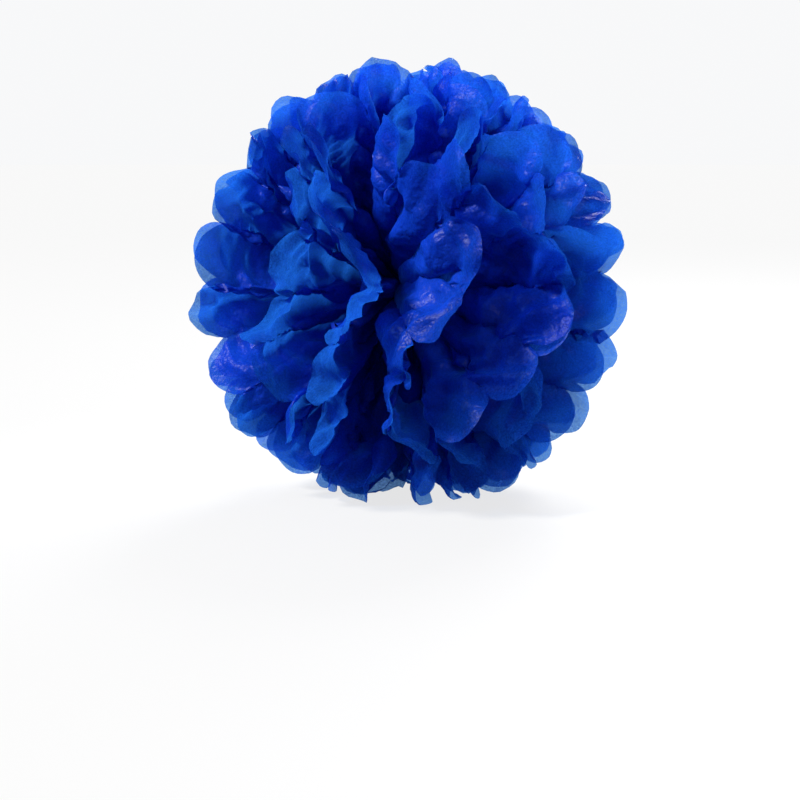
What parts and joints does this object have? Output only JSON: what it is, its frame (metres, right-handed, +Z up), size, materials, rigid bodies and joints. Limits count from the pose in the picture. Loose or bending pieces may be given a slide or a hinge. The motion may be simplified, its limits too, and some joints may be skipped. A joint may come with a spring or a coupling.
{
  "type": "tissue paper pom pom",
  "caption": "Fluffy ball of pleated tissue paper with scalloped petal ends, gathered at the middle in a wire tie, standing on its lowest petals.",
  "frame": {"origin": "on the surface that the ball stands on, at the middle of its outline seen from above", "axes": "+Z up along the length of the tie's twist, the pleats run through the tie along X, the front is -Y"},
  "size_m": [0.3047, 0.3, 0.3002],
  "materials": {
    "blue_tissue": "matt, slightly translucent tissue paper with fine crumples",
    "tie_wire": "bright galvanised florist's wire"
  },
  "bodies": {
    "root": {"tissue_sheet_01": "blue_tissue", "tissue_sheet_02": "blue_tissue", "tissue_sheet_03": "blue_tissue", "tissue_sheet_04": "blue_tissue", "tissue_sheet_05": "blue_tissue", "tissue_sheet_06": "blue_tissue", "tissue_sheet_07": "blue_tissue", "tissue_sheet_08": "blue_tissue", "tissue_sheet_09": "blue_tissue", "tissue_sheet_10": "blue_tissue", "tie_wire": "tie_wire"}
  },
  "joints": []
}
